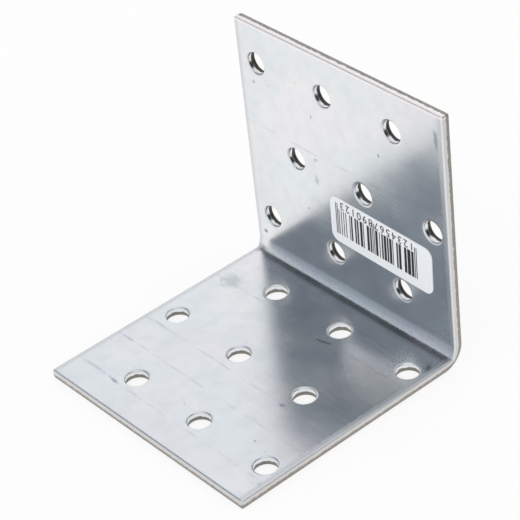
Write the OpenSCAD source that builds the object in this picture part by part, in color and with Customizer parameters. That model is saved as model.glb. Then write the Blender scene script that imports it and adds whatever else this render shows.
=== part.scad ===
// Perforated corner brace: one strip of zinc plated sheet steel, punched while flat and bent to a right
// angle, with a paper label stuck to the inside of its upright leg.
// X runs along the bend, the base leg reaches toward -Y and the upright leg stands at +Y.
// The origin is the middle of the footprint, and the base lies on z = 0.

/* [Sheet] */
// Width of both legs, along the bend
width = 60; // [42:1:70]
// Length of the base leg over the outside, from its free edge to the back of the upright
base_len = 60; // [56:0.5:80]
// Height of the upright leg over the outside, from the underside of the base
upright_len = 60; // [57:0.5:80]
// Thickness of the sheet
sheet_t = 2; // [1.5:0.1:3]
// Outside radius of the bend
bend_r = 5; // [4:0.1:6.5]
// Inside, the upright curves down to a crease with this radius, and the base is flat up to the crease
crease_r = 6.5; // [5.5:0.1:9]
// Radius of the four free corners, seen square on
corner_r = 0.4; // [0.2:0.1:1.5]

/* [Holes] */
// Diameter of the punched holes
hole_d = 5; // [3:0.1:6.5]
// Distance between the holes of one row, along the bend
hole_pitch = 20; // [12:0.5:24]
// Distance between one row of holes and the next
row_pitch = 19.3; // [12:0.1:20]
// From the left edge to the first hole, in the rows that start near it
edge_near = 5.6; // [4.5:0.1:7]
// From the left edge to the first hole, in the rows between those
edge_far = 15.6; // [12:0.1:16.2]
// From the back of the upright to the first row of the base
base_first = 11.3; // [10.5:0.1:13.5]
// From the underside of the base to the first row of the upright
upright_first = 12.1; // [10.5:0.1:14.5]

/* [Punched edges] */
// How far the rolled edge reaches in from a hole or from the outline
roll_w = 0.45; // [0.3:0.05:0.9]
// How deep the rolled edge sinks at the hole or the outline
roll_d = 0.2; // [0.1:0.02:0.34]
// Height of the torn band, from the outer face up
tear_h = 0.7; // [0.3:0.05:1]
// How far the torn band slopes back at the outer face
tear_w = 0.1; // [0.05:0.01:0.2]

/* [Label] */
// Width of the label, along the bend
label_w = 29.6; // [15:0.1:34]
// Height of the label
label_h = 11.3; // [6:0.1:11.8]
// Thickness of the label
label_t = 0.1; // [0.1:0.05:0.3]
// Radius of the label's corners
label_r = 2; // [0.5:0.1:3]
// From the right edge of the sheet to the label
label_right = 5.2; // [3:0.1:10]
// From the rolled rims of the upright's first row to the label's lower edge
label_gap = 0.4; // [0.3:0.1:1]
// How far the label's right end is turned down, in degrees
label_turn = 1.5; // [0:0.5:3]

/* [Hidden] */
$fn = 48;
// How far a cutter reaches out of the metal
past = 0.5;
// The roll is an arc that starts this far above the face, so that it meets the face at a slight angle
roll_lift = 0.002;
roll_drop = roll_d + roll_lift;
roll_arc = (pow(roll_w, 2) + pow(roll_drop, 2)) / (2 * roll_drop);
// Least metal between a hole and the right edge or the free end
edge_strip = 1.2;
hole_r = hole_d / 2;
left_x = -width / 2;
front_y = -base_len / 2;
back_y = base_len / 2;
label_x = width / 2 - label_right - label_w / 2;
label_z = upright_first + hole_r + roll_w + label_gap + label_h / 2;

// Distances of the holes, or of the rows, that a length has room for after the first one
function places(length, first, pitch) =
    [for (d = [first : pitch : length - hole_r - edge_strip]) d];
// Holes of one leg as [distance from the left edge, distance from the outside of the bend].
// The rows start at one and the other distance from the left edge by turns, on through the bend.
function hole_places(length, first_row, odd_start, even_start) =
    let (rows = places(length, first_row, row_pitch))
    [for (k = [0 : len(rows) - 1]) for (x = places(width, k % 2 == 0 ? odd_start : even_start, hole_pitch))
        [x, rows[k]]];

// What punching takes off an edge, apart from the cut itself. The metal is left of x = 0, with its
// outer face on y = 0: the inner face rolls over toward the cut, and the torn band slopes back.
module roll_loss() {
    difference() {
        translate([-roll_w, sheet_t - roll_d]) square([roll_w + past, roll_d + past]);
        translate([-roll_w, sheet_t + roll_lift - roll_arc]) circle(r = roll_arc);
    }
}

module tear_loss() {
    slope = tear_w / tear_h;
    polygon([
        [-tear_w - slope * past, -past], [past, -past],
        [past, tear_h + past], [slope * past, tear_h + past]
    ]);
}

module edge_loss() {
    roll_loss();
    tear_loss();
}

// One hole as punched from the inner face, standing on the outer face with its axis on Z
module punched_hole() {
    rotate_extrude() {
        translate([0, -past]) square([hole_r, sheet_t + 2 * past]);
        translate([hole_r, 0]) mirror([1, 0]) edge_loss();
    }
}

// Section across the strip, its outer face on y = 0
module strip_section() {
    difference() {
        translate([left_x, 0]) square([width, sheet_t]);
        for (side = [0, 1]) mirror([side, 0]) translate([width / 2, 0]) edge_loss();
    }
}

// Section of the bend as if it were full of metal up to its axis
module full_section() {
    difference() {
        translate([left_x, 0]) square([width, bend_r]);
        for (side = [0, 1]) mirror([side, 0]) translate([width / 2, 0]) tear_loss();
    }
}

// Section of the room above the inner face, over the rolled edges too
module room_section(reach) {
    translate([left_x - past, sheet_t]) square([width + 2 * past, reach]);
    for (side = [0, 1]) mirror([side, 0]) translate([width / 2, 0]) roll_loss();
}

// The room inside the bend lies both above the base and within the upright's curve, and the two
// surfaces meet in the crease
module bend_room() {
    intersection() {
        translate([0, back_y + past, 0]) rotate([90, 0, 0])
            linear_extrude(bend_r + 2 * past) room_section(bend_r + past);
        translate([0, back_y - sheet_t - crease_r, bend_r]) rotate([0, 90, 0]) rotate_extrude()
            translate([crease_r + sheet_t, 0]) rotate(90) room_section(crease_r);
    }
}

// The strip runs along the base, round the bend and up the upright
module bent_strip() {
    translate([0, back_y - bend_r, 0]) rotate([90, 0, 0])
        linear_extrude(base_len - bend_r) strip_section();
    difference() {
        translate([0, back_y - bend_r, bend_r]) rotate([0, 90, 0]) rotate_extrude(angle = 90)
            translate([bend_r, 0]) rotate(90) full_section();
        bend_room();
    }
    translate([0, back_y, bend_r]) mirror([0, 1, 0])
        linear_extrude(upright_len - bend_r) strip_section();
}

// What the cut across a free end takes off, with the end on the XZ plane and the leg behind it on +Y
module end_loss() {
    translate([width / 2 + past, 0, 0]) rotate([90, 0, -90]) linear_extrude(width + 2 * past) edge_loss();
    for (side = [0, 1]) mirror([side, 0, 0]) translate([left_x, 0, -past]) linear_extrude(sheet_t + 2 * past)
        difference() {
            translate([-past, -past]) square(corner_r + past);
            translate([corner_r, corner_r]) circle(r = corner_r);
        }
}

module bracket() {
    color("#c9ced3") difference() {
        bent_strip();
        translate([0, front_y, 0]) end_loss();
        translate([0, back_y, upright_len]) rotate([90, 0, 0]) mirror([0, 1, 0]) end_loss();
        for (h = hole_places(base_len, base_first, edge_far, edge_near))
            translate([left_x + h[0], back_y - h[1], 0]) punched_hole();
        for (h = hole_places(upright_len, upright_first, edge_near, edge_far))
            translate([left_x + h[0], back_y, h[1]]) rotate([90, 0, 0]) punched_hole();
    }
}

module label() {
    color("#eef0f4") translate([label_x, back_y - sheet_t, label_z]) rotate([0, label_turn, 0])
        rotate([90, 0, 0]) linear_extrude(label_t) {
            square([label_w - 2 * label_r, label_h], center = true);
            square([label_w, label_h - 2 * label_r], center = true);
            for (x = [-1, 1], y = [-1, 1])
                translate([x * (label_w / 2 - label_r), y * (label_h / 2 - label_r)]) circle(r = label_r);
        }
}

bracket();
label();
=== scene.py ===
import math

import bpy
from mathutils import Matrix, Vector


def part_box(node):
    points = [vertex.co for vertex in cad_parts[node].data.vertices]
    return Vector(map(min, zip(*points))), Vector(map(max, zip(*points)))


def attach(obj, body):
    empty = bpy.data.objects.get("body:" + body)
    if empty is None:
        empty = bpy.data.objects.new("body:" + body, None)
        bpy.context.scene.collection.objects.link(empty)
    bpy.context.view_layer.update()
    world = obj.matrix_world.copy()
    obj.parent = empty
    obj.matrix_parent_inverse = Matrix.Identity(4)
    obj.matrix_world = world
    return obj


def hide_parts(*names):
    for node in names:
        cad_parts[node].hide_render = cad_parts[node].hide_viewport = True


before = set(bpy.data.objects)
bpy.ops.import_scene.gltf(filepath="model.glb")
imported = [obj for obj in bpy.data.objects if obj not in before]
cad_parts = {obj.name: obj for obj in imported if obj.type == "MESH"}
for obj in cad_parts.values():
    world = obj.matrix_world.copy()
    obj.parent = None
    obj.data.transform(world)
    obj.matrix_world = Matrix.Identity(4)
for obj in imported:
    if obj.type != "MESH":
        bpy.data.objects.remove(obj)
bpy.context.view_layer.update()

mm = 0.001
tiny = 0.002 * mm        # closer than this counts as the same place
print("frame loaded:", sorted(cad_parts))


# Nodes, colours and meshes

def addNode(tree, kind, links=(), **settings):
    # links is a list in the order of the sockets in use, or a dictionary by socket name. Each holds a
    # value, a socket, a node, whose first output in use is taken, or a list of nodes that one socket joins
    node = tree.nodes.new(kind)
    for key, value in settings.items():
        setattr(node, key, value)
    shown = [s for s in node.inputs if s.enabled]
    named = {s.name: s for s in reversed(shown)}
    pairs = [(named[k], v) for k, v in links.items()] if isinstance(links, dict) else zip(shown, links)
    for socket, values in pairs:
        for value in values if isinstance(values, list) else [values]:
            if isinstance(value, bpy.types.Node):
                value = next(s for s in value.outputs if s.enabled)
            if isinstance(value, bpy.types.NodeSocket):
                tree.links.new(value, socket)
            else:
                socket.default_value = value
    return node


def linear(hexText):
    # an sRGB hex colour as the linear colour that the shaders take
    parts = [int(hexText[i:i + 2], 16) / 255 for i in (1, 3, 5)]
    return tuple(c / 12.92 if c <= 0.04045 else ((c + 0.055) / 1.055) ** 2.4 for c in parts) + (1.0,)


def newMaterial(name):
    material = bpy.data.materials.new(name)
    material.use_nodes = True
    material.node_tree.nodes.clear()
    return material, material.node_tree


def newTree(name, sockets):
    # a geometry tree with named inputs, listed by kind; returns the tree and its inputs by name
    tree = bpy.data.node_groups.new(name, "GeometryNodeTree")
    for kind, names in sockets.items():
        for inputName in names:
            tree.interface.new_socket(inputName, in_out="INPUT", socket_type="NodeSocket" + kind)
    tree.interface.new_socket("Geometry", in_out="OUTPUT", socket_type="NodeSocketGeometry")
    return tree, {s.name: s for s in addNode(tree, "NodeGroupInput").outputs}


def closeTree(tree, geometry, material):
    real = addNode(tree, "GeometryNodeRealizeInstances", [geometry])
    dressed = addNode(tree, "GeometryNodeSetMaterial", {"Geometry": real, "Material": material})
    addNode(tree, "NodeGroupOutput", [dressed])


def inMetres(settings, names):
    # the values of tree inputs from the settings in mm of the same names, such as Hole Radius and holeRadius
    return {name: settings[name[0].lower() + name[1:].replace(" ", "")] * mm for name in names}


def makePiece(name, tree, values):
    # evaluates the tree once and keeps the result as a plain mesh at the origin
    piece = bpy.data.objects.new(name, bpy.data.meshes.new(name + "Start"))
    bpy.context.scene.collection.objects.link(piece)
    modifier = piece.modifiers.new("shape", "NODES")
    modifier.node_group = tree
    for item in tree.interface.items_tree:
        if item.in_out == "INPUT":
            modifier[item.identifier] = values[item.name]
    graph = bpy.context.evaluated_depsgraph_get()
    made = bpy.data.meshes.new_from_object(
        piece.evaluated_get(graph), preserve_all_data_layers=True, depsgraph=graph)
    piece.modifiers.remove(modifier)
    piece.data = made
    made.name = name
    made.materials.pop(index=0)      # the empty slot of the start mesh
    print(f"{name}: {len(made.vertices)} points, {sum(len(p.vertices) - 2 for p in made.polygons)} triangles")
    return piece


# The sheet, in mm

low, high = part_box("bracket")
sheet = {
    "width": (high.x - low.x) / mm,
    "baseLength": (high.y - low.y) / mm,
    "uprightLength": (high.z - low.z) / mm,
    "thickness": 2.0,
    "bendRadius": 5.0,       # outside
    "creaseRadius": 6.5,     # inside, the upright curves down to a crease and the base is flat up to it
    "cornerRadius": 0.4,
    "holeRadius": 2.5,
    "holePitch": 20.0,
    "rowPitch": 19.3,
    "farStart": 15.6,        # from the left edge to the first hole, by turns
    "nearStart": 5.6,
    "baseFirst": 11.3,       # from the back of the upright to the first row
    "uprightFirst": 12.1,    # from the underside of the base to the first row
    "rollWidth": 0.45,       # the punch draws the face down over this width
    "rollDepth": 0.27,
    "tearHeight": 0.7,       # the torn band starts this far above the outer face
    "tearSlope": 0.1,
    "support": 0.15,         # a flat ring round each edge, which keeps the flat faces flat
    "innerCorner": 0.1,      # radius of the outline's corners at that ring
    "holesAcross": 3,
    "rowsPerLeg": 3,
    "stepsToCrease": 6,
    "stepsPastCrease": 10,
    "rollSteps": 6,
    "cornerSteps": 4,
    "holePoints": 56,
    "crispAngle": 40,        # degrees; a sharper edge is shaded as an edge
}


def cutProfile(s):
    # half section of a punched edge, from the upper face over the rolled edge and down the cut.
    # x is the distance from the cut, negative in the metal, and y is the height above the outer face
    top = s["thickness"]
    inner = -s["rollWidth"] - s["support"]
    points = [(inner, top)]
    for i in range(s["rollSteps"] + 1):
        angle = math.pi / 2 * i / s["rollSteps"]
        points.append((s["rollWidth"] * (math.sin(angle) - 1),
                       top - s["rollDepth"] * (1 - math.cos(angle))))
    points += [(0, s["tearHeight"]), (-s["tearSlope"], 0), (inner, 0)]
    return points


def ladderRungs(s):
    # distances along the flat strip of the lines across it: the ends, a support at each side of the
    # bend, and the steps of the bend, one of which falls on the crease
    rise = s["bendRadius"] - s["thickness"]
    short = s["creaseRadius"] - math.sqrt(s["creaseRadius"] ** 2 - rise ** 2)
    crease = math.atan2(rise - short, rise) / (math.pi / 2)
    inset = s["rollWidth"] + s["support"]
    start = s["baseLength"] - s["bendRadius"]
    bend = (s["bendRadius"] - s["thickness"] / 2) * math.pi / 2
    end = start + bend
    shares = [crease * i / s["stepsToCrease"] for i in range(s["stepsToCrease"])]
    shares += [crease + (1 - crease) * i / s["stepsPastCrease"] for i in range(s["stepsPastCrease"] + 1)]
    last = end + s["uprightLength"] - s["bendRadius"] - inset
    steps = [start + bend * share for share in shares]
    return [inset, start - s["support"]] + steps + [end + s["support"], last]


profile = cutProfile(sheet)
rungs = ladderRungs(sheet)
profileLength = [0.0]
for start, end in zip(profile, profile[1:]):
    profileLength.append(profileLength[-1] + math.dist(start, end))

# Zinc plated steel: a thin bright layer of zinc on cold rolled sheet. It gives the eye a cool, almost
# mirror-like grey that blurs what it reflects, with faint clouds, fine scratches, a few dull marks and some
# painted shade.

zinc = {
    "patterns": {            # mm along the bend, along the strip and through the sheet, and the detail
        "cloud": (16.0, 16.0, 16.0, 3.0),
        "tint": (24.0, 12.0, 24.0, 2.0),
        "blotch": (3.2, 3.2, 3.2, 4.0),
        "streak": (12.0, 0.35, 0.35, 2.0),
        "ragged": (1.1, 1.1, 1.1, 3.0),
        "broken": (4.5, 60.0, 60.0, 3.0),
        "wander": (9.0, 60.0, 60.0, 2.0),
        "scuffs": (1.3, 0.22, 0.5, 3.0),
        "tearLine": (1.1, 1.1, 1.1, 2.0),
        "tearTone": (0.5, 0.5, 0.12, 2.0),
        "waves": (12.0, 12.0, 12.0, 1.0),    # the sheet isn't quite flat, which bends what it mirrors
        "grain": (0.12, 0.12, 0.12, 2.0),    # of the torn band; the real one is finer and wouldn't show
    },
    "shade": "#d4d6d8",
    "tones": (               # a pattern, where it starts and is full, how strong, and its colour
        ("cloud", 0.35, 0.65, 1.0, "#dfdfdf"),
        ("tint", 0.42, 0.62, 0.8, "#d6dbdd"),
        ("tint", 0.48, 0.34, 0.8, "#dddbdf"),
        ("blotch", 0.42, 0.68, 0.26, "#c3c7cc"),
    ),
    "roughness": (0.145, 0.225),             # least and most, by the clouds
    "roughClouds": (0.3, 0.7),
    "streakRoughness": 0.1,
    "markRoughness": 0.18,   # what lines, specks, spots and scuffs add
    "markRagged": 1.6,       # how far the edge of a spot wanders
    "markEdge": (1.2, 2.05),
    "feedLines": (6.4, 17.3, 24.7, 44.4, 91.5),   # mm along the strip, rubbed by the feeder of the press
    "feedLineWidth": 0.4,
    "feedLineWander": 0.9,
    "feedLineBreaks": (0.42, 0.7),
    "feedLineStrength": 0.45,
    "feedLine": "#a6a8ae",
    "speckSpacing": 5.0,
    "speckSize": 0.24,
    "speckBlur": 0.4,        # as a share of its size
    "speckStrength": 0.9,
    "withoutSpeck": 0.5,     # the share of places that have none
    "sideBand": (1.2, 1.9),  # mm; this close to the sides of the strip the plating took duller
    "sideRagged": 0.6,
    "sideDull": "#cfd0d2",
    "scuffStart": (57.2, 57.5),              # mm along the strip, rubbed by the bending tool
    "scuffEnd": (58.2, 59.6),
    "scuffBreaks": (0.5, 0.62),
    "uprightStart": (57.2, 59.6),
    "endStart": (-0.1, 0.05),                # mm past the last flat line, where the free end's cut starts
    "rollStart": (0.2, 0.4),                 # mm down the cut
    "rollBlur": 0.15,
    "roll": "#dadcde",       # the drawn-down rim of the outline
    "leftRollShade": "#cecfd0",   # painted shade: the same, darker on the left side
    "cut": "#c6c4c2",        # the sheared part of the outline, duller than the faces
    "endCut": "#ebe6e4",     # the upright's free end was sheared clean and left matt and bright
    "torn": "#88827c",       # the torn part of the outline, from dark to light
    "tornLight": "#aeaaa4",
    "tornBaseHole": "#87847d",
    "tornUprightHoleShade": "#524f49",            # painted shade: the torn band in the upright's holes, darker than in the base's holes
    "rollRoughness": 0.38,
    "cutRoughness": 0.3,
    "endRoughness": 0.42,
    "tornRoughness": 0.55,
    "tearWander": 0.7,       # mm that the torn band's upper edge goes up and down
    "tearRise": 0.6,
    "tearBlur": 0.08,
    "tearTones": (0.35, 0.65),
    "waveDepth": 0.03,
    "streakDepth": 0.0012,
    "scuffDepth": 0.008,
    "grainDepth": 0.06,
}

# Dull spots, and one painted shade: place and half size along the bend and along the flat strip in mm, turn
# in degrees, colour
marks = {
    "dullPatch": ((-24.7, 45.0), (2.6, 2.4), 12, "#c4cacb"),
    "cornerSpot": ((28.7, 5.6), (0.45, 0.6), 0, "#c6c9cd"),
    "lineSmudge": ((-17.5, 6.5), (1.7, 0.4), -8, "#aeb0b6"),
    "cornerSmudge": ((-24.0, 6.8), (3.2, 0.4), 3, "#c8c8cc"),
    "secondSmudge": ((-26.0, 17.4), (1.8, 0.35), 0, "#c3c5cb"),
    "thirdSmudge": ((-24.6, 24.9), (2.2, 0.3), -5, "#c5c8ce"),
    "middleSmudge": ((14.7, 24.3), (1.0, 0.5), 10, "#9da1a8"),
    "darkSmudge": ((6.0, 43.8), (2.4, 0.5), 15, "#85888e"),
    # painted shade: edgeShade darkens the base by its right edge, near the bend
    "edgeShade": ((28.3, 52.0), (0.9, 1.7), 35, "#86898c"),
    "bendStain": ((-29.3, 57.2), (1.8, 1.2), 0, "#928b88"),
    "lowSpeck": ((-27.4, 63.3), (0.7, 0.5), 0, "#92959a"),
    "greenSpot": ((-8.4, 85.1), (0.7, 1.2), 0, "#c3cbca"),
    "smallSpot": ((-8.2, 90.1), (0.8, 0.4), 30, "#c2c4c6"),
    "highSpeck": ((-25.7, 102.2), (0.45, 0.45), 0, "#a2a4a9"),
    "middleSpeck": ((-8.4, 100.6), (0.3, 0.5), 0, "#b4b6b8"),
    "rightSpeck": ((11.3, 99.6), (0.35, 0.5), 0, "#a4a6aa"),
    "rubMark": ((28.1, 110.4), (0.6, 2.5), 2, "#a8aaad"),
}


def markMask(tree, flat, place, halfSize, turn, ragged, z):
    # 1 inside the mark and 0 past its ragged edge
    centred = addNode(tree, "ShaderNodeMapping", {
        "Vector": flat, "Location": (*place, 0.0), "Rotation": (0.0, 0.0, math.radians(turn)),
        "Scale": (*halfSize, 1000.0)}, vector_type="TEXTURE")
    out = addNode(tree, "ShaderNodeVectorMath", [centred], operation="LENGTH").outputs["Value"]
    edge = addNode(tree, "ShaderNodeMath", [ragged, z["markRagged"], out], operation="MULTIPLY_ADD")
    return addNode(tree, "ShaderNodeMapRange", [edge, *z["markEdge"], 1.0, 0.0])


def zincMaterial(z, spots, s):
    material, tree = newMaterial("zincPlatedSteel")
    flat = addNode(tree, "ShaderNodeAttribute", attribute_name="flatPlace").outputs["Vector"]
    along = addNode(tree, "ShaderNodeAttribute", attribute_name="cutLength").outputs["Fac"]
    atHole = addNode(tree, "ShaderNodeAttribute", attribute_name="holeRim").outputs["Fac"]
    place = addNode(tree, "ShaderNodeSeparateXYZ", [flat])
    acrossStrip, alongStrip = place.outputs["X"], place.outputs["Y"]
    pattern = {}
    for name, (*sizes, detail) in z["patterns"].items():
        scaled = addNode(tree, "ShaderNodeMapping", {
            "Vector": flat, "Scale": tuple(1 / size for size in sizes)})
        pattern[name] = addNode(tree, "ShaderNodeTexNoise", {
            "Vector": scaled, "Scale": 1.0, "Detail": detail}).outputs["Fac"]

    # The faces: clouds of two tints and finer blotches, with streaks along the rolling direction
    face = linear(z["shade"])
    for name, start, full, share, colour in z["tones"]:
        mask = addNode(tree, "ShaderNodeMapRange", [pattern[name], start, full, 0.0, share])
        face = addNode(tree, "ShaderNodeMix", [mask, face, linear(colour)], data_type="RGBA")
    clouded = addNode(tree, "ShaderNodeMapRange", [pattern["cloud"], *z["roughClouds"], *z["roughness"]])
    rough = addNode(tree, "ShaderNodeMath", [
        pattern["streak"], z["streakRoughness"], clouded], operation="MULTIPLY_ADD")
    plainFace, plainRough = face, rough

    # The outer face stays plain: lines, marks and scuffs are on the inner one
    rollEnd, tearStart, tearEnd = profileLength[-4], profileLength[-3], profileLength[-2]
    inside = addNode(tree, "ShaderNodeMapRange", [along, tearEnd, tearEnd + 0.05, 1.0, 0.0])

    # Lines that the feeder of the press rubbed along the bend, broken and uneven
    lines = 0.0
    for line in z["feedLines"]:
        middle = addNode(tree, "ShaderNodeMath", [
            pattern["wander"], z["feedLineWander"], line - z["feedLineWander"] / 2], operation="MULTIPLY_ADD")
        offLine = addNode(tree, "ShaderNodeMath", [alongStrip, middle], operation="SUBTRACT")
        away = addNode(tree, "ShaderNodeMath", [offLine], operation="ABSOLUTE")
        mask = addNode(tree, "ShaderNodeMapRange", [away, 0.0, z["feedLineWidth"], 1.0, 0.0])
        lines = addNode(tree, "ShaderNodeMath", [lines, mask], operation="ADD")
    unbroken = addNode(tree, "ShaderNodeMapRange", [
        pattern["broken"], *z["feedLineBreaks"], 0.0, z["feedLineStrength"]])
    rubbed = addNode(tree, "ShaderNodeMath", [lines, unbroken], operation="MULTIPLY")

    # Specks of dirt in the plating
    cell = addNode(tree, "ShaderNodeTexVoronoi", {"Vector": flat, "Scale": 1 / z["speckSpacing"]})
    draw = addNode(tree, "ShaderNodeSeparateColor", [cell.outputs["Color"]]).outputs["Red"]
    chosen = addNode(tree, "ShaderNodeMath", [draw, z["withoutSpeck"]], operation="GREATER_THAN")
    reach = z["speckSize"] / z["speckSpacing"]
    speck = addNode(tree, "ShaderNodeMath", [chosen, addNode(tree, "ShaderNodeMapRange", [
        cell.outputs["Distance"], reach * (1 - z["speckBlur"]), reach * (1 + z["speckBlur"]),
        z["speckStrength"], 0.0])], operation="MULTIPLY")

    # Toward the sides of the strip the plating is duller and blurs more
    fromMiddle = addNode(tree, "ShaderNodeMath", [acrossStrip], operation="ABSOLUTE")
    fromSide = addNode(tree, "ShaderNodeMath", [s["width"] / 2, fromMiddle], operation="SUBTRACT")
    uneven = addNode(tree, "ShaderNodeMath", [
        pattern["ragged"], z["sideRagged"], fromSide], operation="MULTIPLY_ADD")
    sideBand = addNode(tree, "ShaderNodeMapRange", [uneven, *z["sideBand"], 1.0, 0.0])

    laid = [(rubbed, z["feedLine"]), (speck, z["feedLine"])]
    for spot, halfSize, turn, colour in spots.values():
        laid.append((markMask(tree, flat, spot, halfSize, turn, pattern["ragged"], z), colour))
    laid.append((sideBand, z["sideDull"]))
    dull = 0.0
    for mask, colour in laid:
        face = addNode(tree, "ShaderNodeMix", [mask, face, linear(colour)], data_type="RGBA")
        dull = addNode(tree, "ShaderNodeMath", [mask, dull], operation="ADD")

    # Short bright scuffs just above the crease, left by the bending tool
    scuffed = addNode(tree, "ShaderNodeMath", [
        addNode(tree, "ShaderNodeMapRange", [alongStrip, *z["scuffStart"], 0.0, inside]),
        addNode(tree, "ShaderNodeMapRange", [alongStrip, *z["scuffEnd"], 1.0, 0.0])], operation="MULTIPLY")
    scuff = addNode(tree, "ShaderNodeMath", [scuffed, addNode(tree, "ShaderNodeMapRange", [
        pattern["scuffs"], *z["scuffBreaks"], 0.0, 1.0])], operation="MULTIPLY")
    dull = addNode(tree, "ShaderNodeMath", [scuff, dull], operation="ADD")
    rough = addNode(tree, "ShaderNodeMath", [dull, z["markRoughness"], rough], operation="MULTIPLY_ADD")

    # The cut of the outline: the roll, then the sheared band. At the upright's free end both are matt
    atOutline = addNode(tree, "ShaderNodeMath", [1.0, atHole], operation="SUBTRACT")
    endStart, endFull = (rungs[-1] + past for past in z["endStart"])
    freeEnd = addNode(tree, "ShaderNodeMapRange", [alongStrip, endStart, endFull, 0.0, 1.0])
    beforeEnd = addNode(tree, "ShaderNodeMath", [1.0, freeEnd], operation="SUBTRACT")
    dirty = addNode(tree, "ShaderNodeMath", [beforeEnd, atOutline], operation="MULTIPLY")
    pastFace = addNode(tree, "ShaderNodeMapRange", [along, *z["rollStart"], 0.0, 1.0])
    pastRoll = addNode(tree, "ShaderNodeMapRange", [along, rollEnd - z["rollBlur"], rollEnd, 0.0, 1.0])
    onRoll = addNode(tree, "ShaderNodeMath", [pastFace, pastRoll], operation="SUBTRACT")
    rolled = addNode(tree, "ShaderNodeMath", [dirty, pastFace], operation="MULTIPLY")
    sheared = addNode(tree, "ShaderNodeMath", [dirty, pastRoll], operation="MULTIPLY")
    atEnd = addNode(tree, "ShaderNodeMath", [freeEnd, atOutline], operation="MULTIPLY")
    # Painted shade: the roll is darker along the left side
    onLeft = addNode(tree, "ShaderNodeMath", [
        acrossStrip, s["rollWidth"] + s["support"] - s["width"] / 2], operation="LESS_THAN")
    roll = addNode(tree, "ShaderNodeMix", [
        onLeft, linear(z["roll"]), linear(z["leftRollShade"])], data_type="RGBA")
    colour = face
    for mask, tone in ((rolled, roll), (sheared, linear(z["cut"])), (atEnd, linear(z["endCut"]))):
        colour = addNode(tree, "ShaderNodeMix", [mask, colour, tone], data_type="RGBA")
    colour = addNode(tree, "ShaderNodeMix", [inside, plainFace, colour], data_type="RGBA")
    for mask, value in ((onRoll, "rollRoughness"), (sheared, "cutRoughness"), (atEnd, "endRoughness")):
        rough = addNode(tree, "ShaderNodeMix", [mask, rough, z[value]], data_type="FLOAT")
    rough = addNode(tree, "ShaderNodeMix", [inside, plainRough, rough], data_type="FLOAT")

    # Dull and grainy where the last of the metal tore
    edgeLine = addNode(tree, "ShaderNodeMath", [
        pattern["tearLine"], z["tearWander"], tearStart - z["tearRise"]], operation="MULTIPLY_ADD")
    below = addNode(tree, "ShaderNodeMath", [along, edgeLine], operation="SUBTRACT")
    pastEdge = addNode(tree, "ShaderNodeMapRange", [below, 0.0, z["tearBlur"], 0.0, 1.0])
    torn = addNode(tree, "ShaderNodeMath", [pastEdge, inside], operation="MULTIPLY")
    # Painted shade: in the upright's holes the torn band takes a darker colour
    onUpright = addNode(tree, "ShaderNodeMapRange", [alongStrip, *z["uprightStart"], 0.0, 1.0])
    tornHoleWithShade = addNode(tree, "ShaderNodeMix", [
        onUpright, linear(z["tornBaseHole"]), linear(z["tornUprightHoleShade"])], data_type="RGBA")
    tornShare = addNode(tree, "ShaderNodeMapRange", [pattern["tearTone"], *z["tearTones"], 0.0, 1.0])
    tornOutline = addNode(tree, "ShaderNodeMix", [
        tornShare, linear(z["torn"]), linear(z["tornLight"])], data_type="RGBA")
    tornTone = addNode(tree, "ShaderNodeMix", [atHole, tornOutline, tornHoleWithShade], data_type="RGBA")
    colour = addNode(tree, "ShaderNodeMix", [torn, colour, tornTone], data_type="RGBA")
    rough = addNode(tree, "ShaderNodeMix", [torn, rough, z["tornRoughness"]], data_type="FLOAT")

    # Height in mm: waves of the sheet, fine streaks, scuffs and the torn grain
    height = addNode(tree, "ShaderNodeMath", [pattern["streak"], z["streakDepth"]], operation="MULTIPLY")
    grain = addNode(tree, "ShaderNodeMath", [pattern["grain"], torn], operation="MULTIPLY")
    for shape, depth in ((pattern["waves"], "waveDepth"), (scuff, "scuffDepth"), (grain, "grainDepth")):
        height = addNode(tree, "ShaderNodeMath", [shape, z[depth], height], operation="MULTIPLY_ADD")
    bump = addNode(tree, "ShaderNodeBump", {"Height": height, "Distance": mm, "Strength": 1.0})

    shader = addNode(tree, "ShaderNodeBsdfPrincipled", {
        "Base Color": colour, "Metallic": 1.0, "Roughness": rough, "Normal": bump})
    addNode(tree, "ShaderNodeOutputMaterial", {"Surface": shader})
    return material


# The strip is drawn flat: X runs along the bend, Y from the base's free end to the upright's, and Z is the
# height above the outer face. Rows of holes are cut out of the skins, every edge is drawn down through
# the profile of a punched cut, and the whole strip is then bent.

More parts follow.
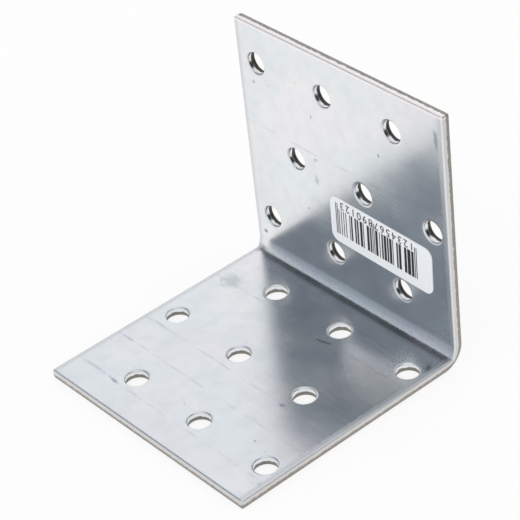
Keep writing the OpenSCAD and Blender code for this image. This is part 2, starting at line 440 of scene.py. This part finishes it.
def stripTree(s):
    tree, size = newTree("punchedStrip", {
        "Float": ["Width", "Base Straight", "Upright Straight", "Thickness", "Bend Radius", "Crease Radius",
                  "Corner Radius", "Inner Corner", "Inset", "Support", "Hole Radius", "Hole Pitch",
                  "Row Pitch", "Far Start", "Near Start", "First Row", "Rows Across Bend", "Back"],
        "Int": ["Hole Points"], "Object": ["Rungs", "Cut Profile"], "Material": ["Material"]})
    position = addNode(tree, "GeometryNodeInputPosition")
    place = addNode(tree, "ShaderNodeSeparateXYZ", [position])
    inset = size["Inset"]

    halfWidth = addNode(tree, "ShaderNodeMath", [size["Width"], 0.5], operation="MULTIPLY")
    halfInside = addNode(tree, "ShaderNodeMath", [halfWidth, inset], operation="SUBTRACT")
    leftInside = addNode(tree, "ShaderNodeMath", [halfInside, -1.0], operation="MULTIPLY")
    middleRadius = addNode(tree, "ShaderNodeMath", [size["Thickness"], -0.5, size["Bend Radius"]],
                           operation="MULTIPLY_ADD")
    bendLength = addNode(tree, "ShaderNodeMath", [middleRadius, math.pi / 2], operation="MULTIPLY")
    bendEnd = addNode(tree, "ShaderNodeMath", [size["Base Straight"], bendLength], operation="ADD")
    length = addNode(tree, "ShaderNodeMath", [bendEnd, size["Upright Straight"]], operation="ADD")

    # A ladder of the outline: one long field for each leg and a narrow one for each step of the bend
    rungs = addNode(tree, "GeometryNodeObjectInfo", {"Object": size["Rungs"]}).outputs["Geometry"]
    rungCount = addNode(tree, "GeometryNodeAttributeDomainSize", [rungs]).outputs["Point Count"]
    lastRung = addNode(tree, "ShaderNodeMath", [rungCount, 1.0], operation="SUBTRACT")
    rungShare = addNode(tree, "ShaderNodeMapRange", [place.outputs["Y"], -0.5, 0.5, 0.0, lastRung])
    rung = addNode(tree, "ShaderNodeMath", [rungShare], operation="ROUND")
    rungPoint = addNode(tree, "GeometryNodeSampleIndex", [rungs, position, rung], data_type="FLOAT_VECTOR")
    rungPlace = addNode(tree, "ShaderNodeSeparateXYZ", [rungPoint]).outputs["Y"]
    sidePlace = addNode(tree, "ShaderNodeMapRange", [
        place.outputs["X"], -0.5, 0.5, leftInside, halfInside])
    ladder = addNode(tree, "GeometryNodeSetPosition", {
        "Geometry": addNode(tree, "GeometryNodeMeshGrid", [1.0, 1.0, 2, rungCount]),
        "Position": addNode(tree, "ShaderNodeCombineXYZ", [sidePlace, rungPlace])})
    bendMiddle, bendReach = (
        addNode(tree, "ShaderNodeMath", [bendLength, 0.5, size[name]], operation="MULTIPLY_ADD")
        for name in ("Base Straight", "Support"))
    pastMiddle = addNode(tree, "ShaderNodeMath", [place.outputs["Y"], bendMiddle], operation="SUBTRACT")
    fromBend = addNode(tree, "ShaderNodeMath", [pastMiddle], operation="ABSOLUTE")
    inBend = addNode(tree, "ShaderNodeMath", [fromBend, bendReach], operation="LESS_THAN")
    fields = addNode(tree, "GeometryNodeSeparateGeometry", [ladder, inBend], domain="FACE")

    # Centres of the holes: rows of three that start near the edge and far from it by turns
    perLeg = s["rowsPerLeg"]
    column = addNode(tree, "ShaderNodeMapRange", [place.outputs["X"], -0.5, 0.5, 0.0, s["holesAcross"] - 1])
    row = addNode(tree, "ShaderNodeMapRange", [place.outputs["Y"], -0.5, 0.5, 0.0, 2 * perLeg - 1])
    turn = addNode(tree, "ShaderNodeMath", [
        addNode(tree, "ShaderNodeMath", [row], operation="ROUND"), 2.0], operation="MODULO")
    rowStart = addNode(tree, "ShaderNodeMapRange", [turn, 0.0, 1.0, size["Far Start"], size["Near Start"]])
    acrossEdge = addNode(tree, "ShaderNodeMath", [
        column, size["Hole Pitch"], rowStart], operation="MULTIPLY_ADD")
    across = addNode(tree, "ShaderNodeMath", [acrossEdge, halfWidth], operation="SUBTRACT")
    extra = addNode(tree, "ShaderNodeMath", [
        size["Rows Across Bend"], size["Row Pitch"]], operation="SUBTRACT")
    afterBend = addNode(tree, "ShaderNodeMath", [size["First Row"], extra], operation="ADD")
    pastBend = addNode(tree, "ShaderNodeMapRange", [row, perLeg - 1, perLeg, size["First Row"], afterBend])
    alongStrip = addNode(tree, "ShaderNodeMath", [row, size["Row Pitch"], pastBend], operation="MULTIPLY_ADD")
    centres = addNode(tree, "GeometryNodeSetPosition", {
        "Geometry": addNode(tree, "GeometryNodeMeshGrid", [1.0, 1.0, s["holesAcross"], 2 * perLeg]),
        "Position": addNode(tree, "ShaderNodeCombineXYZ", [across, alongStrip])})
    ringRadius = addNode(tree, "ShaderNodeMath", [size["Hole Radius"], inset], operation="ADD")
    ring = addNode(tree, "GeometryNodeCurvePrimitiveCircle", {
        "Resolution": size["Hole Points"], "Radius": ringRadius})
    rings = addNode(tree, "GeometryNodeRealizeInstances", [
        addNode(tree, "GeometryNodeInstanceOnPoints", {"Points": centres, "Instance": ring})])

    # The legs' outlines, with their free corners rounded, and the rings are filled in one go
    halfLength = addNode(tree, "ShaderNodeMath", [length, 0.5], operation="MULTIPLY")
    offMiddle = addNode(tree, "ShaderNodeVectorMath", [
        position, addNode(tree, "ShaderNodeCombineXYZ", [0.0, halfLength])], operation="SUBTRACT")
    fromMiddle = addNode(tree, "ShaderNodeVectorMath", [offMiddle], operation="ABSOLUTE")
    cornerInset = addNode(tree, "ShaderNodeMath", [inset, size["Inner Corner"]], operation="ADD")
    cornerCentre = addNode(tree, "ShaderNodeCombineXYZ", [
        addNode(tree, "ShaderNodeMath", [halfWidth, cornerInset], operation="SUBTRACT"),
        addNode(tree, "ShaderNodeMath", [halfLength, cornerInset], operation="SUBTRACT")])
    beyond = addNode(tree, "ShaderNodeVectorMath", [fromMiddle, cornerCentre], operation="SUBTRACT")
    beyondPlace = addNode(tree, "ShaderNodeSeparateXYZ", [beyond])
    atCorner = addNode(tree, "ShaderNodeMath", [beyondPlace.outputs["Y"], -tiny], operation="GREATER_THAN")
    outlines = addNode(tree, "GeometryNodeFilletCurve", {
        "Curve": addNode(tree, "GeometryNodeMeshToCurve", [fields.outputs["Inverted"]]),
        "Count": s["cornerSteps"],
        "Radius": addNode(tree, "ShaderNodeMath", [size["Inner Corner"], atCorner], operation="MULTIPLY")},
        mode="POLY")
    drawn = addNode(tree, "GeometryNodeJoinGeometry", [[rings, outlines]])
    legs = addNode(tree, "GeometryNodeFillCurve", [drawn], mode="TRIANGLES")
    skins = addNode(tree, "GeometryNodeJoinGeometry", [[legs, fields.outputs["Selection"]]])
    skin = addNode(tree, "GeometryNodeMergeByDistance", {"Geometry": skins, "Distance": tiny})

    # The way that each point of a rim moves as the rim is drawn out to the cut: off the nearest hole's
    # centre, square off a straight side, and fanned out at a corner, so that its radius grows to full size
    near = addNode(tree, "GeometryNodeProximity", {"Geometry": centres}, target_element="POINTS")
    atHole = addNode(tree, "ShaderNodeMath", [
        near.outputs["Distance"], addNode(tree, "ShaderNodeMath", [ringRadius, tiny], operation="ADD")],
        operation="LESS_THAN")
    toHole = addNode(tree, "ShaderNodeVectorMath", [
        addNode(tree, "ShaderNodeVectorMath", [near.outputs["Position"], position], operation="SUBTRACT")],
        operation="NORMALIZE")
    grown = addNode(tree, "ShaderNodeMath", [
        size["Corner Radius"], size["Inner Corner"]], operation="SUBTRACT")
    growth = addNode(tree, "ShaderNodeMath", [grown, inset], operation="DIVIDE")
    mitre = addNode(tree, "ShaderNodeMath", [1.0, growth], operation="SUBTRACT")
    fan = addNode(tree, "ShaderNodeVectorMath", {
        "Vector": addNode(tree, "ShaderNodeVectorMath", [beyond], operation="NORMALIZE"), "Scale": growth},
        operation="SCALE")
    cornerWay = addNode(tree, "ShaderNodeVectorMath", [
        addNode(tree, "ShaderNodeCombineXYZ", [mitre, mitre]), fan], operation="ADD")
    quarterWay = addNode(tree, "ShaderNodeMix", {
        "Factor": atCorner, "A": (1.0, 0.0, 0.0), "B": cornerWay}, data_type="VECTOR")
    side = addNode(tree, "ShaderNodeVectorMath", [offMiddle], operation="SIGN")
    outlineWay = addNode(tree, "ShaderNodeVectorMath", [quarterWay, side], operation="MULTIPLY")
    way = addNode(tree, "ShaderNodeMix", {"Factor": atHole, "A": outlineWay, "B": toHole}, data_type="VECTOR")
    skin = addNode(tree, "GeometryNodeStoreNamedAttribute", {
        "Geometry": skin, "Name": "cutWay", "Value": way}, data_type="FLOAT_VECTOR", domain="POINT")
    skin = addNode(tree, "GeometryNodeStoreNamedAttribute", {
        "Geometry": skin, "Name": "holeRim", "Value": atHole}, data_type="FLOAT", domain="POINT")

    # Each pass draws the open rim on to the next point of the cut profile
    cut = addNode(tree, "GeometryNodeObjectInfo", {"Object": size["Cut Profile"]}).outputs["Geometry"]
    cutPoints = addNode(tree, "GeometryNodeAttributeDomainSize", [cut]).outputs["Point Count"]
    passes = addNode(tree, "ShaderNodeMath", [cutPoints, 1.0], operation="SUBTRACT")
    topFace = addNode(tree, "GeometryNodeSetPosition", {
        "Geometry": addNode(tree, "GeometryNodeStoreNamedAttribute", {
            "Geometry": skin, "Name": "cutLength", "Value": 0.0}, data_type="FLOAT", domain="POINT"),
        "Offset": addNode(tree, "ShaderNodeCombineXYZ", [0.0, 0.0, size["Thickness"]])})
    repeatStart = tree.nodes.new("GeometryNodeRepeatInput")
    repeatEnd = tree.nodes.new("GeometryNodeRepeatOutput")
    repeatStart.pair_with_output(repeatEnd)
    repeatEnd.repeat_items.new("FLOAT", "Drawn")
    tree.links.new(passes.outputs[0], repeatStart.inputs["Iterations"])
    tree.links.new(topFace.outputs[0], repeatStart.inputs["Geometry"])
    turnIndex = repeatStart.outputs["Iteration"]
    nextIndex = addNode(tree, "ShaderNodeMath", [turnIndex, 1.0], operation="ADD")
    here = addNode(tree, "GeometryNodeSampleIndex", [cut, position, turnIndex], data_type="FLOAT_VECTOR")
    there = addNode(tree, "GeometryNodeSampleIndex", [cut, position, nextIndex], data_type="FLOAT_VECTOR")
    step = addNode(tree, "ShaderNodeVectorMath", [there, here], operation="SUBTRACT")
    stepParts = addNode(tree, "ShaderNodeSeparateXYZ", [step])
    stepLength = addNode(tree, "ShaderNodeVectorMath", [step], operation="LENGTH")
    openEdge = addNode(tree, "ShaderNodeMath", [
        addNode(tree, "GeometryNodeInputMeshEdgeNeighbors"), 1.0, 0.1], operation="COMPARE")
    drawnRim = addNode(tree, "GeometryNodeExtrudeMesh", {
        "Mesh": repeatStart.outputs["Geometry"], "Selection": openEdge, "Offset Scale": 0.0}, mode="EDGES")
    cutWay = addNode(tree, "GeometryNodeInputNamedAttribute", {"Name": "cutWay"}, data_type="FLOAT_VECTOR")
    sideways = addNode(tree, "ShaderNodeVectorMath", {
        "Vector": cutWay.outputs["Attribute"], "Scale": stepParts.outputs["X"]}, operation="SCALE")
    move = addNode(tree, "ShaderNodeVectorMath", [
        sideways, addNode(tree, "ShaderNodeCombineXYZ", [0.0, 0.0, stepParts.outputs["Y"]])], operation="ADD")
    moved = addNode(tree, "GeometryNodeSetPosition", {
        "Geometry": drawnRim.outputs["Mesh"], "Selection": drawnRim.outputs["Top"], "Offset": move})
    soFar = addNode(tree, "ShaderNodeMath", [
        stepLength.outputs["Value"], 1 / mm, repeatStart.outputs["Drawn"]], operation="MULTIPLY_ADD")
    marked = addNode(tree, "GeometryNodeStoreNamedAttribute", {
        "Geometry": moved, "Selection": drawnRim.outputs["Top"], "Name": "cutLength", "Value": soFar},
        data_type="FLOAT", domain="POINT")
    tree.links.new(marked.outputs[0], repeatEnd.inputs["Geometry"])
    tree.links.new(soFar.outputs[0], repeatEnd.inputs["Drawn"])

    # The outer face is the same skin turned over, and meets the last rim
    underside = addNode(tree, "GeometryNodeFlipFaces", [
        addNode(tree, "GeometryNodeStoreNamedAttribute", {
            "Geometry": skin, "Name": "cutLength", "Value": repeatEnd.outputs["Drawn"]},
            data_type="FLOAT", domain="POINT")])
    shell = addNode(tree, "GeometryNodeJoinGeometry", [[underside, repeatEnd.outputs["Geometry"]]])
    closed = addNode(tree, "GeometryNodeMergeByDistance", {"Geometry": shell, "Distance": tiny})
    flatPlace = addNode(tree, "ShaderNodeVectorMath", {
        "Vector": position, "Scale": 1 / mm}, operation="SCALE")
    flatStrip = addNode(tree, "GeometryNodeStoreNamedAttribute", {
        "Geometry": closed, "Name": "flatPlace", "Value": flatPlace},
        data_type="FLOAT_VECTOR", domain="POINT")

    # The bend turns everything past the base's end about the axis of its outer radius. The inner face ends
    # on the base's plane or on the upright's curve, whichever the ray from that axis meets first
    angle = addNode(tree, "ShaderNodeMapRange", [
        place.outputs["Y"], size["Base Straight"], bendEnd, 0.0, math.pi / 2])
    sine = addNode(tree, "ShaderNodeMath", [angle], operation="SINE")
    cosine = addNode(tree, "ShaderNodeMath", [angle], operation="COSINE")
    rise = addNode(tree, "ShaderNodeMath", [size["Bend Radius"], size["Thickness"]], operation="SUBTRACT")
    aboveZero = addNode(tree, "ShaderNodeMath", [cosine, 0.001], operation="MAXIMUM")
    toBase = addNode(tree, "ShaderNodeMath", [rise, aboveZero], operation="DIVIDE")
    gap = addNode(tree, "ShaderNodeMath", [size["Crease Radius"], rise], operation="SUBTRACT")
    offCentre = addNode(tree, "ShaderNodeMath", [gap, cosine], operation="MULTIPLY")
    squares = [addNode(tree, "ShaderNodeMath", [side, side], operation="MULTIPLY")
               for side in (size["Crease Radius"], offCentre)]
    reachIn = addNode(tree, "ShaderNodeMath", [
        addNode(tree, "ShaderNodeMath", squares, operation="SUBTRACT")], operation="SQRT")
    toCurve = addNode(tree, "ShaderNodeMath", [
        reachIn, addNode(tree, "ShaderNodeMath", [gap, sine], operation="MULTIPLY")], operation="SUBTRACT")
    innerRadius = addNode(tree, "ShaderNodeMath", [toBase, toCurve], operation="MINIMUM")
    share = addNode(tree, "ShaderNodeMath", [place.outputs["Z"], size["Thickness"]], operation="DIVIDE")
    radius = addNode(tree, "ShaderNodeMapRange", [
        share, 0.0, 1.0, size["Bend Radius"], innerRadius], clamp=False)
    straight = addNode(tree, "ShaderNodeMath", [
        place.outputs["Y"], size["Base Straight"]], operation="MINIMUM")
    pastBendEnd = addNode(tree, "ShaderNodeMath", [place.outputs["Y"], bendEnd], operation="SUBTRACT")
    risen = addNode(tree, "ShaderNodeMath", [pastBendEnd, 0.0], operation="MAXIMUM")
    reach = addNode(tree, "ShaderNodeMath", [radius, sine, straight], operation="MULTIPLY_ADD")
    dip = addNode(tree, "ShaderNodeMath", [radius, cosine], operation="MULTIPLY")
    aboveBase = addNode(tree, "ShaderNodeMath", [size["Bend Radius"], dip], operation="SUBTRACT")
    lift = addNode(tree, "ShaderNodeMath", [aboveBase, risen], operation="ADD")
    backPlace = addNode(tree, "ShaderNodeMath", [size["Base Straight"], size["Bend Radius"]], operation="ADD")
    fromBack = addNode(tree, "ShaderNodeMath", [reach, backPlace], operation="SUBTRACT")
    centred = addNode(tree, "ShaderNodeMath", [fromBack, size["Back"]], operation="ADD")
    bent = addNode(tree, "GeometryNodeSetPosition", {
        "Geometry": flatStrip,
        "Position": addNode(tree, "ShaderNodeCombineXYZ", [place.outputs["X"], centred, lift])})

    # Smooth, apart from the lines where the cut meets the faces
    smooth = addNode(tree, "GeometryNodeSetShadeSmooth", {
        "Geometry": bent, "Shade Smooth": True}, domain="FACE")
    turned = addNode(tree, "ShaderNodeMath", [
        addNode(tree, "GeometryNodeInputMeshEdgeAngle").outputs["Unsigned Angle"],
        math.radians(s["crispAngle"])], operation="GREATER_THAN")
    crisp = addNode(tree, "GeometryNodeSetShadeSmooth", {
        "Geometry": smooth, "Selection": turned, "Shade Smooth": False}, domain="EDGE")
    closeTree(tree, crisp, size["Material"])
    return tree


def pointsObject(name, points):
    mesh = bpy.data.meshes.new(name)
    links = [(i, i + 1) for i in range(len(points) - 1)]
    mesh.from_pydata([(x * mm, y * mm, 0) for x, y in points], links, [])
    return bpy.data.objects.new(name, mesh)


profileHolder = pointsObject("cutProfile", profile)
rungHolder = pointsObject("rungs", [(0, y) for y in rungs])
bendLength = (sheet["bendRadius"] - sheet["thickness"] / 2) * math.pi / 2
firstRow = sheet["baseLength"] - sheet["baseFirst"] - (sheet["rowsPerLeg"] - 1) * sheet["rowPitch"]
rowsAcrossBend = sheet["baseFirst"] + sheet["uprightFirst"] - 2 * sheet["bendRadius"] + bendLength
bracket = makePiece("bracketSheet", stripTree(sheet), {
    **inMetres(sheet, ["Width", "Thickness", "Bend Radius", "Crease Radius", "Corner Radius", "Inner Corner",
                       "Support", "Hole Radius", "Hole Pitch", "Row Pitch", "Far Start", "Near Start"]),
    "Base Straight": (sheet["baseLength"] - sheet["bendRadius"]) * mm,
    "Upright Straight": (sheet["uprightLength"] - sheet["bendRadius"]) * mm,
    "Inset": (sheet["rollWidth"] + sheet["support"]) * mm,
    "First Row": firstRow * mm,
    "Rows Across Bend": rowsAcrossBend * mm,
    "Hole Points": sheet["holePoints"],
    "Back": high.y,
    "Rungs": rungHolder,
    "Cut Profile": profileHolder,
    "Material": zincMaterial(zinc, marks, sheet),
})
bpy.data.objects.remove(profileHolder)
bpy.data.objects.remove(rungHolder)
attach(bracket, "root")
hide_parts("bracket")


# Label paper: coated white paper with a dull face, a little cooler than the light

paper = {
    "colour": "#e7eaee",
    "second": "#f0f2f5",
    "grainSize": 0.4,        # mm, of the fibres
    "grainDetail": 3.0,
    "grainRange": (0.0, 1.0),
    "secondShare": 1.0,
    "depth": 0.01,
    "roughness": 0.55,
}


def labelMaterial(name, m):
    # two tones by a fine grain, which also lifts the surface a little
    material, tree = newMaterial(name)
    place = addNode(tree, "ShaderNodeTexCoord").outputs["Object"]
    grain = addNode(tree, "ShaderNodeTexNoise", {
        "Vector": place, "Scale": 1 / (m["grainSize"] * mm), "Detail": m["grainDetail"]}).outputs["Fac"]
    share = addNode(tree, "ShaderNodeMapRange", [grain, *m["grainRange"], 0.0, m["secondShare"]])
    tone = addNode(tree, "ShaderNodeMix", [share, linear(m["colour"]), linear(m["second"])], data_type="RGBA")
    bump = addNode(tree, "ShaderNodeBump", {"Height": grain, "Distance": m["depth"] * mm, "Strength": 0.5})
    shader = addNode(tree, "ShaderNodeBsdfPrincipled", {
        "Base Color": tone, "Roughness": m["roughness"], "IOR": 1.5, "Normal": bump})
    addNode(tree, "ShaderNodeOutputMaterial", {"Surface": shader})
    return material


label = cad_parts["label"]
label.data.materials.clear()
label.data.materials.append(labelMaterial("labelPaper", paper))
print("label: dressed in paper")

# The print: bars of uneven width over a row of plain counting digits, upside down as the label was stuck on

labelLow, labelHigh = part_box("label")
barPrint = {
    "centre": ((labelLow.x + labelHigh.x) / 2, labelLow.y, (labelLow.z + labelHigh.z) / 2),
    "turn": 181.5,           # upside down, and with the label's own tilt
    "left": -10.55,          # mm from the label's middle, as one reads it
    "width": 23.75,
    "bars": 30,
    "mostExtra": 3.99,       # a bar or a gap is one module wide and up to three more
    "seed": 11,
    "barTop": 3.45,
    "barFoot": -2.95,
    "guardFoot": -4.35,
    "guardEvery": 14,        # two thin long bars at the start, in the middle and at the end
    "digits": "1234567890123",
    "digitSize": 2.6,
    "digitFoot": -5.0,
    "digitStart": -9.85,
    "digitPitch": 1.7,
    "thickness": 0.03,       # real ink is thinner, and would be lost in the paper's surface
    "proud": 0.015,
}

# Thermal print: a matt black that is a little see-through where it runs thin

ink = {
    "colour": "#17141a",
    "second": "#4a464c",
    "grainSize": 0.35,       # mm, of the thin spots
    "grainDetail": 2.0,
    "grainRange": (0.45, 0.75),
    "secondShare": 0.5,
    "depth": 0.005,
    "roughness": 0.5,
}


def printTree(p):
    tree, size = newTree("barPrint", {
        "Int": ["Bars", "Seed", "Guard Every"],
        "Float": ["Left", "Width", "Bar Top", "Bar Foot", "Guard Foot", "Digit Size", "Digit Foot",
                  "Digit Start", "Digit Pitch", "Thickness", "Proud", "Turn"],
        "Vector": ["Centre"], "Material": ["Material"]})
    index = addNode(tree, "GeometryNodeInputIndex")

    # Each bar takes its own width and the gap after it, in modules; the sum is fitted to the whole width
    isGuard = addNode(tree, "ShaderNodeMath", [
        addNode(tree, "ShaderNodeMath", [index, size["Guard Every"]], operation="MODULO"), 1.5],
        operation="LESS_THAN")
    plain = addNode(tree, "ShaderNodeMath", [1.0, isGuard], operation="SUBTRACT")
    draws = []
    for extra in (0, 100):
        seed = addNode(tree, "ShaderNodeMath", [size["Seed"], float(extra)], operation="ADD")
        draw = addNode(tree, "FunctionNodeRandomValue", {
            "Min": 0.0, "Max": 1.0, "Seed": seed}, data_type="FLOAT")
        squared = addNode(tree, "ShaderNodeMath", [draw, draw], operation="MULTIPLY")
        more = addNode(tree, "ShaderNodeMath", [squared, p["mostExtra"]], operation="MULTIPLY")
        whole = addNode(tree, "ShaderNodeMath", [more], operation="FLOOR")
        draws.append(addNode(tree, "ShaderNodeMath", [whole, plain, 1.0], operation="MULTIPLY_ADD"))
    barWide, gapWide = draws
    both = addNode(tree, "ShaderNodeMath", [barWide, gapWide], operation="ADD")
    added = addNode(tree, "GeometryNodeAccumulateField", [both], data_type="FLOAT", domain="POINT")
    module = addNode(tree, "ShaderNodeMath", [
        size["Width"], addNode(tree, "ShaderNodeMath", [added.outputs["Total"], 1.0], operation="SUBTRACT")],
        operation="DIVIDE")
    middle = addNode(tree, "ShaderNodeMath", [
        barWide, 0.5, added.outputs["Trailing"]], operation="MULTIPLY_ADD")
    across = addNode(tree, "ShaderNodeMath", [middle, module, size["Left"]], operation="MULTIPLY_ADD")
    foot = addNode(tree, "ShaderNodeMapRange", [isGuard, 0.0, 1.0, size["Bar Foot"], size["Guard Foot"]])
    tall = addNode(tree, "ShaderNodeMath", [size["Bar Top"], foot], operation="SUBTRACT")
    up = addNode(tree, "ShaderNodeMath", [
        addNode(tree, "ShaderNodeMath", [size["Bar Top"], foot], operation="ADD"), 0.5], operation="MULTIPLY")
    out = addNode(tree, "ShaderNodeMath", [size["Thickness"], -0.5, size["Proud"]], operation="MULTIPLY_ADD")
    points = addNode(tree, "GeometryNodeMeshLine", {"Count": size["Bars"]})
    wide = addNode(tree, "ShaderNodeMath", [barWide, module], operation="MULTIPLY")
    placed = addNode(tree, "GeometryNodeSetPosition", {
        "Geometry": points, "Position": addNode(tree, "ShaderNodeCombineXYZ", [across, up, out])})
    bars = addNode(tree, "GeometryNodeInstanceOnPoints", {
        "Points": placed, "Instance": addNode(tree, "GeometryNodeMeshCube").outputs["Mesh"],
        "Scale": addNode(tree, "ShaderNodeCombineXYZ", [wide, tall, size["Thickness"]])})

    # One digit at each step of the row
    written = addNode(tree, "GeometryNodeStringToCurves", {"String": p["digits"], "Size": size["Digit Size"]})
    spread = addNode(tree, "GeometryNodeSetPosition", {
        "Geometry": written.outputs["Curve Instances"], "Position": addNode(tree, "ShaderNodeCombineXYZ", [
            addNode(tree, "ShaderNodeMath", [
                index, size["Digit Pitch"], size["Digit Start"]], operation="MULTIPLY_ADD"),
            size["Digit Foot"],
            addNode(tree, "ShaderNodeMath", [size["Proud"], size["Thickness"]], operation="SUBTRACT")])})
    loose = addNode(tree, "GeometryNodeRealizeInstances", [spread])
    back = addNode(tree, "GeometryNodeFillCurve", [loose], mode="TRIANGLES")
    raised = addNode(tree, "GeometryNodeExtrudeMesh", {
        "Mesh": back, "Offset": (0.0, 0.0, 1.0), "Offset Scale": size["Thickness"], "Individual": False},
        mode="FACES")
    backTurned = addNode(tree, "GeometryNodeFlipFaces", [back])
    digits = addNode(tree, "GeometryNodeJoinGeometry", [[raised, backTurned]])
    closed = addNode(tree, "GeometryNodeMergeByDistance", {"Geometry": digits, "Distance": tiny})

    together = addNode(tree, "GeometryNodeJoinGeometry", [[closed, bars]])
    turned = addNode(tree, "GeometryNodeTransform", {
        "Geometry": together, "Translation": size["Centre"],
        "Rotation": addNode(tree, "ShaderNodeCombineXYZ", [math.pi / 2, size["Turn"]])})
    closeTree(tree, turned, size["Material"])
    return tree


labelPrint = makePiece("labelPrint", printTree(barPrint), {
    **inMetres(barPrint, ["Left", "Width", "Bar Top", "Bar Foot", "Guard Foot", "Digit Size", "Digit Foot",
                          "Digit Start", "Digit Pitch", "Thickness", "Proud"]),
    "Bars": barPrint["bars"],
    "Seed": barPrint["seed"],
    "Guard Every": barPrint["guardEvery"],
    "Turn": math.radians(barPrint["turn"]),
    "Centre": barPrint["centre"],
    "Material": labelMaterial("printInk", ink),
})
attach(labelPrint, "root")


# Room: a white floor that keeps the shadow, and white surroundings with three darker sides, which only
# mirrors show: the room behind the photographer, seen where each leg mirrors the other, the grey table
# in front of it, seen in the bend, and a dark wall on the right behind the object, seen in the holes.

room = {
    "light": 1.2,
    "darkRoom": {"from": (-0.583, -0.272, 0.766), "reach": 90.0, "shades": (
        (0.0, "#141b22"), (11.0, "#18212a"), (15.0, "#28333e"), (18.0, "#72808e"), (20.5, "#c4ced8"),
        (29.0, "#d9dee4"), (38.0, "#eef0f4"), (46.0, "#f6f7f9"))},
    "greyTable": {"from": (-0.645, -0.72, 0.15), "reach": 45.0, "shades": (
        (0.0, "#bcc5cf"), (16.0, "#c2cad3"), (25.0, "#dfe4ea"), (36.0, "#ffffff"))},
    "darkWall": {"from": (0.79, 0.48, 0.38), "reach": 50.0, "shades": (
        (0.0, "#242424"), (21.0, "#2a2a2a"), (26.0, "#5c5c5c"), (30.0, "#aeb0b2"), (37.0, "#e2e4e6"),
        (46.0, "#ffffff"))},
    "floorEnd": 0.14,        # m to the right; the wall shows past it
    "floorReach": 1.5,       # m the other ways
    "floorWhite": 0.98,      # what the board sends back
    "floorShown": 0.99,      # what the camera sees of its own light
    "floorOwnLight": 0.85,
}


def makeRoom(r):
    world = bpy.data.worlds.new("room")
    bpy.context.scene.world = world
    world.use_nodes = True
    tree = world.node_tree
    tree.nodes.clear()
    ray = addNode(tree, "ShaderNodeTexCoord").outputs["Generated"]
    white = (1.0, 1.0, 1.0, 1.0)
    colour = white
    for side in (r["darkRoom"], r["greyTable"], r["darkWall"]):
        toSide = addNode(tree, "ShaderNodeVectorMath", [
            ray, Vector(side["from"]).normalized()], operation="DOT_PRODUCT")
        angle = addNode(tree, "ShaderNodeMath", [toSide.outputs["Value"]], operation="ARCCOSINE")
        ramp = addNode(tree, "ShaderNodeValToRGB", [
            addNode(tree, "ShaderNodeMath", [angle, math.radians(side["reach"])], operation="DIVIDE")])
        ramp.color_ramp.interpolation = "B_SPLINE"
        while len(ramp.color_ramp.elements) < len(side["shades"]):
            ramp.color_ramp.elements.new(1.0)
        for element, (degrees, shade) in zip(ramp.color_ramp.elements, side["shades"]):
            element.position = degrees / side["reach"]
            element.color = linear(shade)
        colour = addNode(tree, "ShaderNodeMix", [
            1.0, colour, ramp.outputs["Color"]], data_type="RGBA", blend_type="MULTIPLY")
    path = addNode(tree, "ShaderNodeLightPath")
    mirrored = addNode(tree, "ShaderNodeMix", [
        path.outputs["Is Glossy Ray"], white, colour], data_type="RGBA")
    strength = addNode(tree, "ShaderNodeMapRange", [path.outputs["Is Camera Ray"], 0.0, 1.0, r["light"], 1.0])
    shine = addNode(tree, "ShaderNodeBackground", {"Color": mirrored, "Strength": strength})
    addNode(tree, "ShaderNodeOutputWorld", {"Surface": shine})

    mesh = bpy.data.meshes.new("floor")
    far, right = r["floorReach"], r["floorEnd"]
    mesh.from_pydata([(-far, -far, 0), (right, -far, 0), (right, far, 0), (-far, far, 0)], [], [(0, 1, 2, 3)])
    floor = bpy.data.objects.new("floor", mesh)
    bpy.context.scene.collection.objects.link(floor)
    material, tree = newMaterial("whiteBoard")
    path = addNode(tree, "ShaderNodeLightPath")
    direct = addNode(tree, "ShaderNodeMath", [
        path.outputs["Is Camera Ray"], path.outputs["Is Glossy Ray"]], operation="MAXIMUM")
    share = addNode(tree, "ShaderNodeMath", [direct, r["floorOwnLight"]], operation="MULTIPLY")
    board = addNode(tree, "ShaderNodeBsdfDiffuse", {"Color": (r["floorWhite"] / r["light"],) * 3 + (1.0,)})
    strength = addNode(tree, "ShaderNodeMapRange", [
        path.outputs["Is Camera Ray"], 0.0, 1.0, r["light"], r["floorShown"]])
    glow = addNode(tree, "ShaderNodeEmission", {"Color": white, "Strength": strength})
    mixed = addNode(tree, "ShaderNodeMixShader", [share, board, glow])
    addNode(tree, "ShaderNodeOutputMaterial", {"Surface": mixed})
    mesh.materials.append(material)


makeRoom(room)
print("room: lit at", room["light"])

# Camera: where the photographer stood, a little off level

camera = {
    "place": (288.973, -217.239, 289.421),   # mm
    "azimuth": 52.516,
    "elevation": 35.932,
    "roll": -6.884,
    "lens": 155.506,
}


def makeCamera(c):
    data = bpy.data.cameras.new("camera")
    data.sensor_fit = "HORIZONTAL"
    data.sensor_width = 36.0
    data.lens = c["lens"]
    data.clip_start = 0.01
    turn = (Matrix.Rotation(math.radians(c["azimuth"]), 4, "Z")
            @ Matrix.Rotation(math.radians(90 - c["elevation"]), 4, "X")
            @ Matrix.Rotation(math.radians(c["roll"]), 4, "Z"))
    holder = bpy.data.objects.new("camera", data)
    holder.matrix_world = Matrix.Translation(Vector(c["place"]) * mm) @ turn
    bpy.context.scene.collection.objects.link(holder)
    bpy.context.scene.camera = holder


makeCamera(camera)
bpy.context.scene.view_settings.view_transform = "Standard"
print("camera set")
